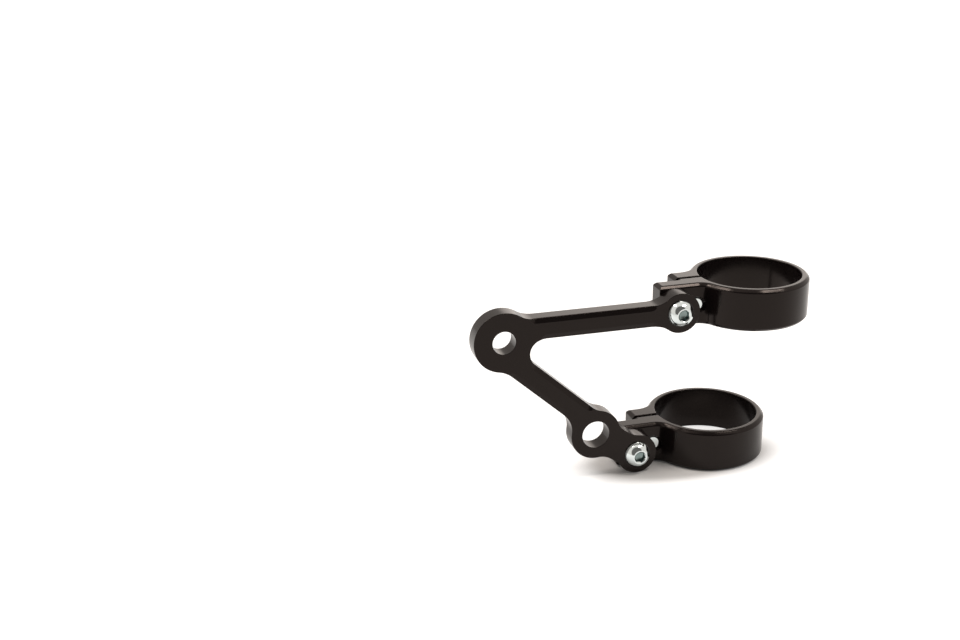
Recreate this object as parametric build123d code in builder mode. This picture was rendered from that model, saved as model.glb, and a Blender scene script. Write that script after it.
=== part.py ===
import os
from math import asin, atan2, degrees, sqrt

from build123d import *

# Headlight mounting bracket of a motorcycle, for one fork leg.
# A flat machined plate carries the headlight at its apex and a turn signal on its lower arm.
# Two split ring clamps grip the fork tube. Each clamp is held to the end of a plate arm by one
# screw, on which it can be swivelled, and is drawn tight round the tube by a second one.
# Origin: axis of the lower clamp's bore, at its bottom face. +X runs from the headlight to the
# fork tube, +Z runs up along the tube, and the plate lies to the -Y side of the bores.

# Fork clamps
tube_diameter = 41.0
ring_wall = 3.0
clamp_height = 17.0
clamp_edge_chamfer = 1.2
tongue_thickness = 7.5
tongue_tail = 6.0
tongue_fillet = 5.0
slit_width = 1.6
pinch_lug_thickness = 7.4
pinch_lug_end = 5.6
pinch_lug_fillet = 8.0
pinch_screw_spacing = 9.5
boss_to_ring_gap = 1.5
screw_drop = 0.4
thread_mouth_chamfer = 0.5
upper_clamp_forward = 16.2
upper_clamp_rise = 57.2

# Bracket plate
plate_thickness = 7.0
upper_arm_width = 8.6
upper_arm_drop = 0.25
lower_arm_width = 9.05
headlight_hole_x = -89.4
headlight_hole_z = 61.0
headlight_hole_diameter = 9.0
headlight_boss_radius = 11.75
signal_hole_x = -52.6
signal_hole_z = 18.8
signal_hole_diameter = 11.0
signal_boss_radius = 10.0
signal_boss_offset = 3.1
arm_end_radius = 8.0
neck_width = 12.6
boss_fillet = 9.0
neck_fillet = 8.0
neck_straight_share = 0.05
fork_fillet = 5.6
fork_ahead = 0.9
fork_drop = 0.2
bevel_width = 2.0
bevel_depth = 0.65
bevel_mill_radius = 3.2
bevel_setback = 1.5

# Button head screws
screw_diameter = 6.0
screw_head_diameter = 10.5
screw_head_height = 3.3
screw_head_rim = 0.4
screw_head_flat = 5.8
hex_key_size = 4.0
hex_socket_depth = 2.1
arm_screw_proud = 1.5
pinch_screw_recess = 0.5

# Room round the screws, on each side
swivel_clearance = 0.08
pinch_hole_clearance = 0.2
thread_clearance = 0.05
spotface_clearance = 0.95

# Sizes that follow
bore_radius = tube_diameter / 2
ring_radius = bore_radius + ring_wall
screw_height = clamp_height / 2 - screw_drop
screw_radius = screw_diameter / 2
thread_radius = screw_radius + thread_clearance
plate_back = tongue_thickness
plate_front = plate_back + plate_thickness
pinch_seat = slit_width + pinch_lug_thickness
arm_screw_length = plate_thickness + tongue_thickness + arm_screw_proud
pinch_screw_length = pinch_seat + tongue_thickness - pinch_screw_recess


def fillet_reach(boss_radius, edge_distance, radius):
    # From a round boss's centre, along a straight edge beside it, to the end of the fillet between them
    return sqrt((boss_radius + radius) ** 2 - (edge_distance + radius) ** 2)


def heading(start, end, side_step=0.0):
    # Angle of a line from start that passes end at side_step, with end on its right
    run = end - start
    return degrees(atan2(run.Y, run.X) + asin(side_step / run.length))


arm_screw_to_bore = arm_end_radius + boss_to_ring_gap + fillet_reach(ring_radius, tongue_thickness, tongue_fillet)
pinch_screw_to_bore = arm_screw_to_bore - pinch_screw_spacing
tongue_reach = arm_screw_to_bore + tongue_tail
pinch_lug_reach = pinch_screw_to_bore + pinch_lug_end

# Centres on the plate, as X and Z
headlight_hole = Vector(headlight_hole_x, headlight_hole_z)
signal_hole = Vector(signal_hole_x, signal_hole_z)
lower_arm_end = Vector(-arm_screw_to_bore, screw_height)
upper_arm_end = lower_arm_end + Vector(upper_clamp_forward, upper_clamp_rise)

# The inner edges of both arms start from one point near the headlight hole's centre. The upper arm
# lies a little low on its end boss, and the lower arm passes the signal hole by an offset.
fork_point = headlight_hole + Vector(fork_ahead, -fork_drop)
upper_step = upper_arm_width / 2 + upper_arm_drop
lower_step = lower_arm_width / 2 + signal_boss_offset
upper_heading = heading(fork_point, upper_arm_end, -upper_step)
lower_heading = heading(fork_point, signal_hole, lower_step)
upper_arm_length = sqrt((upper_arm_end - fork_point).length ** 2 - upper_step**2)
lower_arm_length = sqrt((signal_hole - fork_point).length ** 2 - lower_step**2)
neck_heading = heading(signal_hole, lower_arm_end)
neck_length = (lower_arm_end - signal_hole).length


def neck_fillets_length(radius):
    signal_end = fillet_reach(signal_boss_radius, neck_width / 2, radius)
    clamp_end = fillet_reach(arm_end_radius, neck_width / 2, radius)
    return signal_end + clamp_end


# The fillets at the two ends of the neck leave a straight stretch between them.
neck_corner = neck_fillet
while neck_fillets_length(neck_corner) > (1 - neck_straight_share) * neck_length:
    neck_corner *= 1 - neck_straight_share


def plate_plane(depth):
    # Parallel to the plate, with X and Z as its axes, at a depth to the -Y side of the bores
    return Plane.XZ.offset(depth)


with BuildPart() as bracket_plate:
    with BuildSketch(plate_plane(plate_back)) as outline:
        with Locations(headlight_hole):
            Circle(headlight_boss_radius)
        with Locations(fork_point):
            Rectangle(upper_arm_length, upper_arm_width, rotation=upper_heading, align=(Align.MIN, Align.MIN))
            Rectangle(lower_arm_length, lower_arm_width, rotation=lower_heading, align=(Align.MIN, Align.MAX))
        with Locations(signal_hole):
            Circle(signal_boss_radius)
            Rectangle(neck_length, neck_width, rotation=neck_heading, align=(Align.MIN, Align.CENTER))
        with Locations(upper_arm_end, lower_arm_end):
            Circle(arm_end_radius)
        # The fork between the arms is open down to the point where they start, then rounded.
        with BuildLine():
            upper_inner = PolarLine(fork_point, upper_arm_length / 2, upper_heading)
            lower_inner = PolarLine(fork_point, lower_arm_length / 2, lower_heading)
            Line(upper_inner @ 1, lower_inner @ 1)
        make_face(mode=Mode.SUBTRACT)
        corners = outline.vertices()
        fork_corner = corners.sort_by_distance(fork_point)[:1]
        neck_corners = corners.sort_by_distance((signal_hole + lower_arm_end) / 2)[:4]
        boss_corners = [v for v in corners if v not in fork_corner and v not in neck_corners]
        fillet(boss_corners, boss_fillet)
        fillet(outline.vertices().sort_by_distance((signal_hole + lower_arm_end) / 2)[:4], neck_corner)
        fillet(outline.vertices().sort_by_distance(fork_point)[:1], fork_fillet)
    extrude(amount=plate_thickness)

    # Bevels along the straight edges of both arms, on both faces, as a tapered mill leaves them
    arm_edges = outline.sketch_local.edges().filter_by(GeomType.LINE).sort_by(SortBy.LENGTH)[-4:]
    plate_shape = outline.sketch_local.face()
    for edge in arm_edges:
        outward = (edge % 0.5).rotate(Axis.Z, 90)
        if plate_shape.is_inside(edge @ 0.5 + outward * bevel_depth):
            outward = -outward
        mill_path = edge @ 0.5 + outward * (bevel_mill_radius - bevel_width)
        mill_heading = degrees(atan2((edge % 0.5).Y, (edge % 0.5).X))
        for face_depth, inward in ((plate_front, -1), (plate_back, 1)):
            for side in (-1, 1):
                with BuildSketch(plate_plane(face_depth + side * inward * bevel_depth)):
                    with Locations(mill_path):
                        SlotCenterToCenter(
                            edge.length - 2 * bevel_setback,
                            2 * (bevel_mill_radius - side * bevel_width),
                            rotation=mill_heading,
                        )
            loft(ruled=True, mode=Mode.SUBTRACT)

    with BuildSketch(plate_plane(plate_back)):
        with Locations(headlight_hole):
            Circle(headlight_hole_diameter / 2)
        with Locations(signal_hole):
            Circle(signal_hole_diameter / 2)
        with Locations(upper_arm_end, lower_arm_end):
            Circle(screw_radius + swivel_clearance)
    extrude(amount=plate_thickness, mode=Mode.SUBTRACT)


def fork_clamp(bore_x, bottom_z):
    # One machined piece: a ring with a slit, a pinch lug, and a longer tongue that meets the plate
    base = Plane(origin=(bore_x, 0, bottom_z))
    screw_z = bottom_z + screw_height
    with BuildPart() as clamp:
        with BuildSketch(base) as profile:
            Circle(ring_radius)
            Rectangle(tongue_reach, tongue_thickness, align=(Align.MAX, Align.MAX))
            Rectangle(pinch_lug_reach, pinch_seat, align=(Align.MAX, Align.MIN))
            ring_corners = profile.vertices().sort_by(Axis.X)[-2:].sort_by(Axis.Y)
            fillet(ring_corners[0], tongue_fillet)
            fillet(profile.vertices().sort_by(Axis.X)[-3:].sort_by(Axis.Y)[-1], pinch_lug_fillet)
        extrude(amount=clamp_height)
        ends = clamp.faces().filter_by(Axis.Z)
        chamfer(ends.edges(), clamp_edge_chamfer)

        with BuildSketch(base):
            Circle(bore_radius)
        extrude(amount=clamp_height, mode=Mode.SUBTRACT)

        with BuildSketch(base):
            with Locations((-bore_radius / 2, 0)):
                Rectangle(tongue_reach, slit_width, align=(Align.MAX, Align.MIN))
        extrude(amount=clamp_height, mode=Mode.SUBTRACT)

        # The pinch screw's head has a flat seat, milled into the fillet beside it.
        seat = Plane(origin=(bore_x - pinch_screw_to_bore, pinch_seat, screw_z), x_dir=(1, 0, 0), z_dir=(0, 1, 0))
        with BuildSketch(seat):
            Circle(screw_head_diameter / 2 + spotface_clearance)
        extrude(amount=ring_radius, mode=Mode.SUBTRACT)
        with BuildSketch(seat):
            Circle(screw_radius + pinch_hole_clearance)
        extrude(amount=-pinch_lug_thickness, mode=Mode.SUBTRACT)

        # Tapped holes through the tongue. The pinch screw's hole comes out in the fillet, where it is sunk.
        inner_face = Plane(origin=(bore_x, 0, screw_z), x_dir=(1, 0, 0), z_dir=(0, -1, 0))
        with BuildSketch(inner_face):
            with Locations((-arm_screw_to_bore, 0), (-pinch_screw_to_bore, 0)):
                Circle(thread_radius)
        extrude(amount=tongue_thickness, mode=Mode.SUBTRACT)
        with Locations(inner_face.offset(tongue_thickness) * Pos(-pinch_screw_to_bore, 0)):
            CounterSinkHole(thread_radius, thread_radius + thread_mouth_chamfer, tongue_thickness)
    return clamp.part


def button_screw(seat, toward_head, length):
    # Seat is the centre of the head's underside, and toward_head is +1 or -1 along Y
    head_radius = screw_head_diameter / 2
    flat_radius = screw_head_flat / 2
    floor = screw_head_height - hex_socket_depth
    # The dome is part of a ball on the screw's axis, from the rim up to the flat top.
    ball_height = (flat_radius**2 + screw_head_height**2 - head_radius**2 - screw_head_rim**2) / (
        2 * (screw_head_height - screw_head_rim)
    )
    ball_radius = sqrt(head_radius**2 + (screw_head_rim - ball_height) ** 2)
    mid_radius = (head_radius + flat_radius) / 2
    dome_middle = (mid_radius, ball_height + sqrt(ball_radius**2 - mid_radius**2))
    axis = Axis(origin=seat, direction=(0, 1, 0))
    half_section = Plane(origin=seat, x_dir=(1, 0, 0), z_dir=(0, 0, toward_head))
    with BuildPart() as screw:
        with BuildSketch(half_section):
            with BuildLine():
                Polyline(
                    (flat_radius, screw_head_height),
                    (0, screw_head_height),
                    (0, -length),
                    (screw_radius, -length),
                    (screw_radius, 0),
                    (head_radius, 0),
                    (head_radius, screw_head_rim),
                )
                ThreePointArc((head_radius, screw_head_rim), dome_middle, (flat_radius, screw_head_height))
            make_face()
        revolve(axis=axis)

        # Hexagon socket
        with BuildSketch(Plane(origin=seat, x_dir=(1, 0, 0), z_dir=(0, toward_head, 0)).offset(floor)):
            RegularPolygon(hex_key_size / 2, 6, major_radius=False)
        extrude(amount=hex_socket_depth, mode=Mode.SUBTRACT)
    return screw.part


pieces = {"bracket_plate": bracket_plate.part}
for level, arm_end, bottom_z in (("lower", lower_arm_end, 0.0), ("upper", upper_arm_end, upper_clamp_rise)):
    pinch_x = arm_end.X + pinch_screw_spacing
    arm_seat = (arm_end.X, -plate_front, arm_end.Y)
    pieces[f"{level}_clamp"] = fork_clamp(arm_end.X + arm_screw_to_bore, bottom_z)
    pieces[f"{level}_arm_screw"] = button_screw(arm_seat, -1, arm_screw_length)
    pieces[f"{level}_pinch_screw"] = button_screw((pinch_x, pinch_seat, arm_end.Y), 1, pinch_screw_length)

os.makedirs("parts", exist_ok=True)
for name, piece in pieces.items():
    piece.label = name
    export_step(piece, f"parts/{name}.step")
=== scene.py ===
import math

import bpy
from mathutils import Matrix, Vector


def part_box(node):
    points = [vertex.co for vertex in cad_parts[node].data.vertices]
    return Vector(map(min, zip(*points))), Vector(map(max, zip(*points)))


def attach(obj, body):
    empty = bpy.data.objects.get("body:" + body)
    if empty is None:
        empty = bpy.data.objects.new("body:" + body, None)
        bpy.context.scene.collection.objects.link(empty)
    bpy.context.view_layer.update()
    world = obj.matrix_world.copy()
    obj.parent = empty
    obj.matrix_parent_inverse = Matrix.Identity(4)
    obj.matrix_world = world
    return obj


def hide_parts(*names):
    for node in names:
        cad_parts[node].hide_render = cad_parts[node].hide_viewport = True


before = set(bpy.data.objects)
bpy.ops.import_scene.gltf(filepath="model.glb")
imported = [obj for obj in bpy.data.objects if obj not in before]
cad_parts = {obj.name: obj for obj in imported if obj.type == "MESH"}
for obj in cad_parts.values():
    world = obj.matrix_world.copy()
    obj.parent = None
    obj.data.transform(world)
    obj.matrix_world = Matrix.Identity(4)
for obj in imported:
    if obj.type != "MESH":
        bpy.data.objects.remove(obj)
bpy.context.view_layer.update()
mm = 0.001
print("frame loaded:", sorted(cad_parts))


def hexToLinear(hexColour, alpha=1.0):
    channels = [int(hexColour[i:i + 2], 16) / 255 for i in (1, 3, 5)]
    linear = [c / 12.92 if c <= 0.04045 else ((c + 0.055) / 1.055) ** 2.4 for c in channels]
    return (*linear, alpha)


def addNode(tree, kind, settings=None, links=None):
    # settings are the node's own properties or its sockets' values, links feed its sockets
    node = tree.nodes.new(kind)
    for key, value in (settings or {}).items():
        if isinstance(key, str) and hasattr(node, key):
            setattr(node, key, value)
        else:
            node.inputs[key].default_value = value
    for socket, source in (links or {}).items():
        tree.links.new(source, node.inputs[socket])
    return node


def startMaterial(name):
    material = bpy.data.materials.new(name)
    material.use_nodes = True
    tree = material.node_tree
    shader = next(n for n in tree.nodes if n.type == "BSDF_PRINCIPLED")
    return material, tree, shader


# Black dyed anodised aluminium: a clear hard oxide over a near-black metal. It is dark and a little brown
# when seen square on, and mirrors its surroundings at a slant. Cutter marks run along the milled walls.
anodised = {
    "colour": "#130f0f",
    "sheen": "#fff0e8",    # the dye warms what the oxide mirrors
    "ior": 1.35,
    "roughness": 0.16,
    "roughnessSpread": 0.05,
    "grainMm": 0.9,        # bead blast grain, drawn coarser than the real 0.1 mm so that it shows
    "grainDepthMm": 0.004,
    "cutterPitchMm": 0.45,
    "cutterDepthMm": 0.006,
    "cutterStretch": 0.02,  # how much slower the marks change along the cut than across it
    "cutterDetail": 2.0,
    "grainDetail": 3.0,
    "bumpStrength": 0.5,
}


def blackAnodised(name, cutterAxis):
    material, tree, shader = startMaterial(name)
    coords = addNode(tree, "ShaderNodeTexCoord")
    perMetre = 1 / mm
    # cutter marks keep to one level along the cutter's axis, so the noise is stretched across it
    stretch = [anodised["cutterStretch"] * perMetre / anodised["cutterPitchMm"]] * 3
    stretch["XYZ".index(cutterAxis)] = perMetre / anodised["cutterPitchMm"]
    marksAt = addNode(tree, "ShaderNodeMapping", {"Scale": stretch}, {"Vector": coords.outputs["Object"]})
    marks = addNode(tree, "ShaderNodeTexNoise", {
        "Scale": 1.0,
        "Detail": anodised["cutterDetail"],
    }, {"Vector": marksAt.outputs["Vector"]})
    grain = addNode(tree, "ShaderNodeTexNoise", {
        "Scale": perMetre / anodised["grainMm"],
        "Detail": anodised["grainDetail"],
    }, {"Vector": coords.outputs["Object"]})
    rough = addNode(tree, "ShaderNodeMapRange", {
        "To Min": anodised["roughness"] - anodised["roughnessSpread"],
        "To Max": anodised["roughness"] + anodised["roughnessSpread"],
    }, {"Value": grain.outputs["Fac"]})
    marksBump = addNode(tree, "ShaderNodeBump", {
        "Strength": anodised["bumpStrength"],
        "Distance": anodised["cutterDepthMm"] * mm,
    }, {"Height": marks.outputs["Fac"]})
    grainBump = addNode(tree, "ShaderNodeBump", {
        "Strength": anodised["bumpStrength"],
        "Distance": anodised["grainDepthMm"] * mm,
    }, {"Height": grain.outputs["Fac"], "Normal": marksBump.outputs["Normal"]})
    shader.inputs["Base Color"].default_value = hexToLinear(anodised["colour"])
    shader.inputs["IOR"].default_value = anodised["ior"]
    shader.inputs["Specular Tint"].default_value = hexToLinear(anodised["sheen"])
    tree.links.new(rough.outputs["Result"], shader.inputs["Roughness"])
    tree.links.new(grainBump.outputs["Normal"], shader.inputs["Normal"])
    return material


# Zinc plated steel: bright and mirror-like outside, slightly blue, with faint wandering brightness. In the
# key sockets it is rougher and drawn darker, as painted shade in the recess.
brightPlating = {
    "colour": "#ebf4f5",
    "roughness": 0.065,
    "roughnessSpread": 0.03,
    "cloudMm": 1.6,
    "cloudDetail": 4.0,
}
dullShadedPlating = {
    # painted shade: the socket's colour is darker than the outside plating, the roughness is the plating's
    # own
    "colour": "#8d9d9c",
    "roughness": 0.24,
    "roughnessSpread": 0.08,
    "cloudMm": 0.5,
    "cloudDetail": 4.0,
}


def zincPlated(name, plated):
    material, tree, shader = startMaterial(name)
    coords = addNode(tree, "ShaderNodeTexCoord")
    cloud = addNode(tree, "ShaderNodeTexNoise", {
        "Scale": 1 / (plated["cloudMm"] * mm),
        "Detail": plated["cloudDetail"],
    }, {"Vector": coords.outputs["Object"]})
    rough = addNode(tree, "ShaderNodeMapRange", {
        "To Min": plated["roughness"] - plated["roughnessSpread"],
        "To Max": plated["roughness"] + plated["roughnessSpread"],
    }, {"Value": cloud.outputs["Fac"]})
    shader.inputs["Base Color"].default_value = hexToLinear(plated["colour"])
    shader.inputs["Metallic"].default_value = 1.0
    tree.links.new(rough.outputs["Result"], shader.inputs["Roughness"])
    return material


plateFinish = blackAnodised("plateBlackAnodised", "Y")
clampFinish = blackAnodised("clampBlackAnodised", "Z")
screwFinish = zincPlated("screwBrightZinc", brightPlating)
socketShadedFinish = zincPlated("socketDullShadedZinc", dullShadedPlating)
print("materials made")


# Machined edges are broken by a small round, which catches the light.
edgeBreak = {
    "widthMm": 0.22,
    "clampWidthMm": 0.38,
    "segments": 7,
    "angleDeg": 40.0,      # edges sharper than this are broken
    "mergeMm": 0.002,
    "flatDeg": 0.3,
    "smoothDeg": 15.5,     # below the 18 degrees of the arms' milled bevels, which stay crisp
    "runOutMm": 0.37,      # facets nearer to a rim than this are joined
    "rimMm": 1.2,          # the clamps' chamfer
    "nearMm": 0.02,
    "uprightMm": 3.0,      # the least height of an edge that counts as upright
    "uprightShare": 0.99,
}


def useOnly(piece):
    bpy.ops.object.select_all(action="DESELECT")
    piece.select_set(True)
    bpy.context.view_layer.objects.active = piece


def applyModifier(piece, kind, **settings):
    useOnly(piece)
    modifier = piece.modifiers.new(kind.lower(), kind)
    for key, value in settings.items():
        setattr(modifier, key, value)
    bpy.ops.object.modifier_apply(modifier=modifier.name)


def smoothPiece(piece):
    useOnly(piece)
    bpy.ops.object.shade_smooth_by_angle(angle=math.radians(edgeBreak["smoothDeg"]))
    applyModifier(piece, "WEIGHTED_NORMAL", keep_sharp=True)


def selectSharp(piece):
    useOnly(piece)
    bpy.ops.object.mode_set(mode="EDIT")
    bpy.ops.mesh.select_mode(type="EDGE")
    bpy.ops.mesh.select_all(action="DESELECT")
    bpy.ops.mesh.edges_select_sharp(sharpness=math.radians(edgeBreak["angleDeg"]))
    bpy.ops.object.mode_set(mode="OBJECT")


def breakEdges(piece, widthMm, suits=None):
    selectSharp(piece)
    for edge in piece.data.edges:
        ends = [piece.data.vertices[v].co for v in edge.vertices]
        edge.select = edge.select and (suits is None or suits(*ends))
    for face in piece.data.polygons:
        face.select = False
    bpy.ops.object.mode_set(mode="EDIT")
    bpy.ops.mesh.bevel(offset=widthMm * mm, segments=edgeBreak["segments"], clamp_overlap=False)
    bpy.ops.mesh.select_mode(type="VERT")
    bpy.ops.object.mode_set(mode="OBJECT")
    smoothPiece(piece)


def finishPiece(piece, finish, body, nodeName):
    piece.data.materials.clear()
    piece.data.materials.append(finish)
    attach(piece, body)
    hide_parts(nodeName)


def rimOrUpright(lowest, highest):
    # on a clamp, rims and long upright edges are broken, and the spotface and screw holes stay crisp
    chamfer = edgeBreak["rimMm"] * mm
    levels = (lowest, lowest + chamfer, highest - chamfer, highest)

    def suits(start, end):
        along = end - start
        high = abs(along.z)
        onRim = any(abs(start.z - z) < edgeBreak["nearMm"] * mm > abs(end.z - z) for z in levels)
        upright = high > edgeBreak["uprightMm"] * mm and high > edgeBreak["uprightShare"] * along.length
        return onRim or upright

    return suits


def clearRunOuts(piece, reachMm):
    # small facets where a milled bevel runs out into a rim are joined, so the rim can be broken there
    selectSharp(piece)
    points = piece.data.vertices
    rim = {v for edge in piece.data.edges if edge.select for v in edge.vertices}
    near = set()
    for edge in piece.data.edges:
        edge.select = False
        ends = set(edge.vertices)
        start, end = edge.vertices
        short = (points[start].co - points[end].co).length < reachMm * mm
        if short and len(ends & rim) == 1:
            near |= ends - rim
    for face in piece.data.polygons:
        face.select = False
    for point in points:
        point.select = point.index in near
    bpy.ops.object.mode_set(mode="EDIT")
    bpy.ops.mesh.select_mode(type="VERT")
    bpy.ops.mesh.dissolve_verts()
    bpy.ops.object.mode_set(mode="OBJECT")


def milledCopy(nodeName, pieceName, body, finish, widthMm, suits=None):
    piece = bpy.data.objects.new(pieceName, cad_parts[nodeName].data.copy())
    bpy.context.scene.collection.objects.link(piece)
    useOnly(piece)
    bpy.ops.object.mode_set(mode="EDIT")
    bpy.ops.mesh.select_all(action="SELECT")
    bpy.ops.mesh.customdata_custom_splitnormals_clear()
    bpy.ops.mesh.remove_doubles(threshold=edgeBreak["mergeMm"] * mm)
    bpy.ops.mesh.dissolve_limited(angle_limit=math.radians(edgeBreak["flatDeg"]))
    bpy.ops.object.mode_set(mode="OBJECT")
    if suits is None:  # the plate, whose arms have milled bevels
        clearRunOuts(piece, edgeBreak["runOutMm"])
    breakEdges(piece, widthMm, suits)
    finishPiece(piece, finish, body, nodeName)


milledCopy("bracket_plate", "plateMilled", "plate", plateFinish, edgeBreak["widthMm"])
for level in ("lower", "upper"):
    low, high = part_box(f"{level}_clamp")
    milledCopy(f"{level}_clamp", f"{level}ClampMilled", f"{level}_clamp_set",
               clampFinish, edgeBreak["clampWidthMm"], rimOrUpright(low[2], high[2]))
print("plate and clamps milled")


# M6 button head screw, modelled once with its head up and its seat at zero
buttonScrew = {
    "headMm": 10.5,
    "headHighMm": 3.3,
    "seatEdgeMm": 0.1,
    "rimMm": 0.4,
    "flatMm": 5.8,
    "domeSteps": 10,
    "turnSteps": 72,
    "keyMm": 4.0,
    "socketMm": 2.1,
    "pointMm": 0.7,        # the drilled point below the socket's floor
    "drillRoomMm": 0.05,   # the drill stays this far off the key's flats
    "drillStartMm": 0.2,
    "mouthMm": 4.84,
    "threadMm": 5.96,
    "threadRoomMm": 0.02,
    "rootMm": 4.9,
    "crestMm": 0.14,
    "pitchMm": 1.0,
    "spareTurns": 4,
    "lengthMm": 16.0,
    "tipMm": 0.4,
    "neckMm": 0.3,         # how far the shank reaches into the head
    "threadSteps": 40,
    "mergeMm": 0.002,
}


def startPoint(name, radius, height):
    # a single point in edit mode, from which an outline is extruded
    bpy.ops.object.select_all(action="DESELECT")
    bpy.ops.mesh.primitive_plane_add(size=mm, location=(0, 0, 0))
    piece = bpy.context.object
    piece.name = name
    bpy.ops.object.mode_set(mode="EDIT")
    bpy.ops.mesh.merge(type="CENTER")
    bpy.ops.transform.translate(value=(radius * mm, 0, height * mm))
    return piece


def turned(name, outline, steps):
    # a turned shape: the outline is drawn point by point, as radius and height in mm, and spun
    piece = startPoint(name, *outline[0])
    for last, point in zip(outline, outline[1:]):
        step = ((point[0] - last[0]) * mm, 0, (point[1] - last[1]) * mm)
        bpy.ops.mesh.extrude_region_move(TRANSFORM_OT_translate={"value": step})
    bpy.ops.mesh.select_all(action="SELECT")
    bpy.ops.mesh.spin(steps=steps, angle=2 * math.pi, center=(0, 0, 0), axis=(0, 0, 1))
    bpy.ops.mesh.select_all(action="SELECT")
    bpy.ops.mesh.remove_doubles(threshold=buttonScrew["mergeMm"] * mm)
    bpy.ops.mesh.normals_make_consistent(inside=False)
    bpy.ops.object.mode_set(mode="OBJECT")
    return piece


def cutWith(piece, tool, operation):
    applyModifier(piece, "BOOLEAN", object=tool, operation=operation, solver="EXACT")
    bpy.data.objects.remove(tool, do_unlink=True)


def makeHead():
    s = buttonScrew
    # the dome is a part of a ball, from the top of the straight rim to the edge of the flat
    headRadius, flatRadius = s["headMm"] / 2, s["flatMm"] / 2
    ballHeight = (flatRadius ** 2 + s["headHighMm"] ** 2 - headRadius ** 2 - s["rimMm"] ** 2) / (
        2 * (s["headHighMm"] - s["rimMm"]))
    ballRadius = math.hypot(headRadius, s["rimMm"] - ballHeight)
    startAngle = math.atan2(s["rimMm"] - ballHeight, headRadius)
    endAngle = math.atan2(s["headHighMm"] - ballHeight, flatRadius)
    outline = [(0, 0), (headRadius - s["seatEdgeMm"], 0), (headRadius, s["seatEdgeMm"])]
    for i in range(s["domeSteps"] + 1):
        angle = startAngle + (endAngle - startAngle) * i / s["domeSteps"]
        outline.append((ballRadius * math.cos(angle), ballHeight + ballRadius * math.sin(angle)))
    # the key socket's mouth is countersunk
    outline.extend([(s["mouthMm"] / 2, s["headHighMm"]), (0, s["headHighMm"] - s["mouthMm"] / 2)])
    head = turned("buttonHead", outline, s["turnSteps"])
    # key socket: a six sided hole with a drilled point
    floor = s["headHighMm"] - s["socketMm"]
    bpy.ops.mesh.primitive_cylinder_add(vertices=6, radius=s["keyMm"] / math.sqrt(3) * mm,
                                        depth=2 * s["socketMm"] * mm,
                                        location=(0, 0, (floor + s["socketMm"]) * mm))
    cutWith(head, bpy.context.object, "DIFFERENCE")
    drill = s["keyMm"] / 2 - s["drillRoomMm"]
    start = floor + s["drillStartMm"]
    outline = [(0, start), (drill, start), (drill, floor), (0, floor - s["pointMm"])]
    cutWith(head, turned("socketPoint", outline, s["turnSteps"]), "DIFFERENCE")
    return head


def makeShank():
    s = buttonScrew
    pitch, crest, root = s["pitchMm"], s["threadMm"] / 2, s["rootMm"] / 2
    turns = int(s["lengthMm"] / pitch) + s["spareTurns"]
    # one turn's profile, from below the tip upwards
    shank = startPoint("threadedShank", root, -(s["lengthMm"] + 2 * pitch))
    slant = (pitch - s["crestMm"]) / 2
    for out, along in ((crest - root, slant), (0, s["crestMm"]), (root - crest, slant)):
        bpy.ops.mesh.extrude_region_move(TRANSFORM_OT_translate={"value": (out * mm, 0, along * mm)})
    bpy.ops.object.mode_set(mode="OBJECT")
    applyModifier(shank, "SCREW", angle=2 * math.pi, screw_offset=pitch * mm, iterations=turns,
                  steps=s["threadSteps"], render_steps=s["threadSteps"], use_merge_vertices=True,
                  merge_threshold=s["mergeMm"] * mm)
    bpy.ops.object.mode_set(mode="EDIT")
    for height, side in ((-s["lengthMm"] - pitch / 2, -1), (pitch / 2, 1)):
        bpy.ops.mesh.select_all(action="SELECT")
        bpy.ops.mesh.bisect(plane_co=(0, 0, height * mm), plane_no=(0, 0, side), clear_outer=True)
    bpy.ops.mesh.select_all(action="SELECT")
    bpy.ops.mesh.remove_doubles(threshold=s["mergeMm"] * mm)
    bpy.ops.mesh.fill_holes(sides=0)
    bpy.ops.mesh.select_all(action="SELECT")
    bpy.ops.mesh.normals_make_consistent(inside=False)
    bpy.ops.object.mode_set(mode="OBJECT")
    # cut to length, with a chamfered tip
    wide, neck, tip = crest + s["threadRoomMm"], s["neckMm"], -s["lengthMm"]
    outline = [(0, neck), (wide, neck), (wide, tip + s["tipMm"]), (crest - s["tipMm"], tip), (0, tip)]
    cutWith(shank, turned("shankBlank", outline, s["turnSteps"]), "INTERSECT")
    return shank


def makeScrew():
    screw = makeHead()
    cutWith(screw, makeShank(), "UNION")
    smoothPiece(screw)
    return screw


# where each screw sits: centre of its seat, the way its head faces along Y, and how far it is turned in
screwPlaces = {
    "lower_arm_screw": {"seatMm": (-35.1125, -14.5, 8.1), "faces": -1, "turnDeg": 20.0},
    "upper_arm_screw": {"seatMm": (-18.9125, -14.5, 65.3), "faces": -1, "turnDeg": 5.0},
    "lower_pinch_screw": {"seatMm": (-25.6125, 9.0, 8.1), "faces": 1, "turnDeg": 12.0},
    "upper_pinch_screw": {"seatMm": (-9.4125, 9.0, 65.3), "faces": 1, "turnDeg": 40.0},
}


def inSocket(face):
    # walls and drilled point of the key socket, below its countersunk mouth
    wide = buttonScrew["keyMm"] / math.sqrt(3) * mm
    top = buttonScrew["headHighMm"] - (buttonScrew["mouthMm"] - buttonScrew["keyMm"]) / 2
    return 0 < face.center.z < top * mm and math.hypot(face.center.x, face.center.y) < wide


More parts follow.
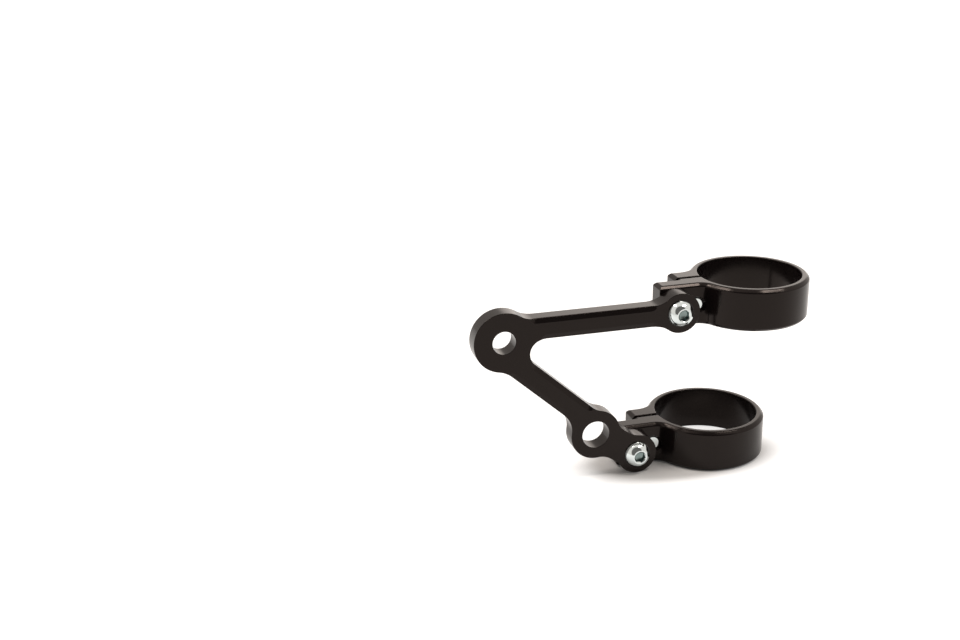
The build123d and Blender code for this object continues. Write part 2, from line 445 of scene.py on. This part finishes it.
def placeScrews():
    pattern = makeScrew()
    socketFaces = [face.index for face in pattern.data.polygons if inSocket(face)]
    for nodeName, place in screwPlaces.items():
        level, job, _ = nodeName.split("_")
        screw = pattern.copy()
        screw.data = pattern.data.copy()
        screw.name = f"{level}{job.capitalize()}Screw"
        bpy.context.scene.collection.objects.link(screw)
        screw.data.transform(
            Matrix.Translation(Vector(place["seatMm"]) * mm)
            @ Matrix.Rotation(-place["faces"] * math.pi / 2, 4, "X")
            @ Matrix.Rotation(math.radians(place["turnDeg"]), 4, "Z")
        )
        finishPiece(screw, screwFinish, f"{level}_clamp_set", nodeName)
        # the socket faces get the darker plating, painted shade inside the key socket
        screw.data.materials.append(socketShadedFinish)
        for number in socketFaces:
            screw.data.polygons[number].material_index = 1
    bpy.data.objects.remove(pattern, do_unlink=True)


placeScrews()
print("screws made")


# Pale floor, white to the camera and pale in reflections, that keeps the contact shadow. Its white is a
# painted glow, kept low around the bracket's foot so that it paints deeper shade there.
floorSettings = {
    "sizeM": 14.0,
    "colour": "#dadada",
    "roughness": 0.9,
    "footMm": (-14.0, -5.5),       # middle and half size of the oval that the bracket stands on
    "footHalfMm": (36.0, 18.5),
    # painted glow: low on the oval, which paints shade around the foot, and high away from it
    "glowNear": 0.02,              # added white on that oval, and a little way outside it
    "glowFar": 0.62,
    "near": 0.88,                  # in half sizes of the oval
    "far": 1.32,
    # the low front share paints shade in reflections on the floor towards the camera
    "mirrored": (0.29, 0.89),      # share of the added white that reflections show, in front and behind
    "mirroredMm": (-150, 180),
}


def makeFloor():
    bpy.ops.object.select_all(action="DESELECT")
    bpy.ops.mesh.primitive_plane_add(size=floorSettings["sizeM"], location=(0, 0, 0))
    floor = bpy.context.object
    floor.name = "paleFloor"
    material, tree, shader = startMaterial("paleFloorPaint")
    shader.inputs["Base Color"].default_value = hexToLinear(floorSettings["colour"])
    shader.inputs["Roughness"].default_value = floorSettings["roughness"]
    shader.inputs["Specular IOR Level"].default_value = 0.0
    rays = addNode(tree, "ShaderNodeLightPath")
    mirrored = addNode(tree, "ShaderNodeMath", {"operation": "MAXIMUM"},
                       {0: rays.outputs["Is Glossy Ray"], 1: rays.outputs["Is Transmission Ray"]})
    # painted light: the floor glows white away from the bracket's foot and less near it, which paints
    # shade around the foot
    coords = addNode(tree, "ShaderNodeTexCoord")
    place = addNode(tree, "ShaderNodeSeparateXYZ", None, {"Vector": coords.outputs["Object"]})
    share = addNode(tree, "ShaderNodeMapRange", {
        "From Min": floorSettings["mirroredMm"][0] * mm,
        "From Max": floorSettings["mirroredMm"][1] * mm,
        "To Min": floorSettings["mirrored"][0],
        "To Max": floorSettings["mirrored"][1],
    }, {"Value": place.outputs["Y"]})
    seen = addNode(tree, "ShaderNodeMath", {"operation": "MULTIPLY_ADD"},
                   {0: mirrored.outputs[0], 1: share.outputs[0], 2: rays.outputs["Is Camera Ray"]})
    middle, half = floorSettings["footMm"], floorSettings["footHalfMm"]
    oval = addNode(tree, "ShaderNodeMapping", {
        "Location": (-middle[0] / half[0], -middle[1] / half[1], 0),
        "Scale": (1 / (half[0] * mm), 1 / (half[1] * mm), 1),
    }, {"Vector": coords.outputs["Object"]})
    away = addNode(tree, "ShaderNodeVectorMath", {"operation": "LENGTH"}, {0: oval.outputs["Vector"]})
    pale = addNode(tree, "ShaderNodeMapRange", {
        "interpolation_type": "SMOOTHSTEP",
        "From Min": floorSettings["near"],
        "From Max": floorSettings["far"],
        "To Min": floorSettings["glowNear"],
        "To Max": floorSettings["glowFar"],
    }, {"Value": away.outputs["Value"]})
    glow = addNode(tree, "ShaderNodeMath", {"operation": "MULTIPLY"},
                   {0: seen.outputs[0], 1: pale.outputs[0]})
    shader.inputs["Emission Color"].default_value = (1, 1, 1, 1)
    tree.links.new(glow.outputs[0], shader.inputs["Emission Strength"])
    floor.data.materials.append(material)


makeFloor()
print("floor laid")


# Soft studio light: a white tent with a dark opening for the camera, a lit backdrop, and two strips above
studio = {
    "colour": "#fff6ee",
    "tent": 0.79,                           # radiance, where 1 lights a white sheet to white
    "opening": 0.13,
    "openingTowards": (-0.20, -0.88, 0.40),
    "openingEdge": (0.66, 0.76),            # cosines, where the tent ends and where the opening is full
    "backdrop": 1.1,
    "backdropTowards": (0.50, 0.84, 0.20),
    "backdropEdge": (0.92, 0.99),
    "strips": {
        "leftStrip": {"at": (-0.639, 0.221, 0.95), "along": (-0.530, 0.845, 0), "size": (0.68, 0.1)},
        "rightStrip": {"at": (0.390, -0.292, 0.95), "along": (0.971, 0.228, 0), "size": (0.5, 0.12)},
    },
    "stripAim": (-0.03, 0.0, 0.04),
    "stripRadiance": 15.5,
}


def makeStrip(name, at, along, size):
    lamp = bpy.data.lights.new(name, "AREA")
    lamp.shape = "RECTANGLE"
    lamp.size, lamp.size_y = size
    lamp.energy = studio["stripRadiance"] * math.pi * lamp.size * lamp.size_y
    lamp.color = hexToLinear(studio["colour"])[:3]
    holder = bpy.data.objects.new(name, lamp)
    bpy.context.scene.collection.objects.link(holder)
    away = (Vector(at) - Vector(studio["stripAim"])).normalized()
    across = away.cross(Vector(along)).normalized()
    turn = Matrix((across.cross(away), across, away)).transposed().to_4x4()
    holder.matrix_world = Matrix.Translation(at) @ turn
    holder.visible_camera = False


def makeStudio():
    for name, strip in studio["strips"].items():
        makeStrip(name, **strip)
    world = bpy.data.worlds.new("studioTent")
    bpy.context.scene.world = world
    world.use_nodes = True
    tree = world.node_tree
    tree.nodes.clear()
    towards = addNode(tree, "ShaderNodeTexCoord")

    def patch(name, edge, low, high):
        middle = Vector(studio[name]).normalized()
        near = addNode(tree, "ShaderNodeVectorMath", {"operation": "DOT_PRODUCT", 1: middle},
                       {0: towards.outputs["Generated"]})
        return addNode(tree, "ShaderNodeMapRange", {
            "interpolation_type": "SMOOTHSTEP",
            "From Min": edge[0],
            "From Max": edge[1],
            "To Min": low,
            "To Max": high,
        }, {"Value": near.outputs["Value"]})

    tent = patch("openingTowards", studio["openingEdge"], studio["tent"], studio["opening"])
    backdrop = patch("backdropTowards", studio["backdropEdge"], 0.0, studio["backdrop"])
    light = addNode(tree, "ShaderNodeMath", {"operation": "ADD"},
                    {0: tent.outputs[0], 1: backdrop.outputs[0]})
    around = addNode(tree, "ShaderNodeBackground", {"Color": hexToLinear(studio["colour"])},
                     {"Strength": light.outputs[0]})
    # white behind the floor to the camera, while metal mirrors the tent
    white = addNode(tree, "ShaderNodeBackground", {"Color": (1, 1, 1, 1), "Strength": 1.0})
    rays = addNode(tree, "ShaderNodeLightPath")
    pick = addNode(tree, "ShaderNodeMixShader", None, {
        0: rays.outputs["Is Camera Ray"], 1: around.outputs[0], 2: white.outputs[0]})
    addNode(tree, "ShaderNodeOutputWorld", None, {"Surface": pick.outputs[0]})


makeStudio()
print("studio lit")


# Camera at the photo's viewpoint, a little to the left and looking down, in metres and radians
cameraSettings = {
    "at": (-0.213199, -0.444931, 0.232637),
    "yaw": 0.260109,
    "pitch": -0.347585,
    "roll": -0.01445,
    "lensMm": 48.468,
    "sensorMm": 36.0,
    "nearestM": 0.01,
}


def makeCamera():
    camera = bpy.data.cameras.new("photoCamera")
    camera.lens = cameraSettings["lensMm"]
    camera.sensor_width = cameraSettings["sensorMm"]
    camera.sensor_fit = "HORIZONTAL"
    camera.clip_start = cameraSettings["nearestM"]
    holder = bpy.data.objects.new("photoCamera", camera)
    bpy.context.scene.collection.objects.link(holder)
    holder.matrix_world = (
        Matrix.Translation(cameraSettings["at"])
        @ Matrix.Rotation(-cameraSettings["yaw"], 4, "Z")
        @ Matrix.Rotation(math.pi / 2 + cameraSettings["pitch"], 4, "X")
        @ Matrix.Rotation(cameraSettings["roll"], 4, "Z")
    )
    bpy.context.scene.camera = holder


makeCamera()
bpy.context.scene.view_settings.view_transform = "Standard"
print("camera set")
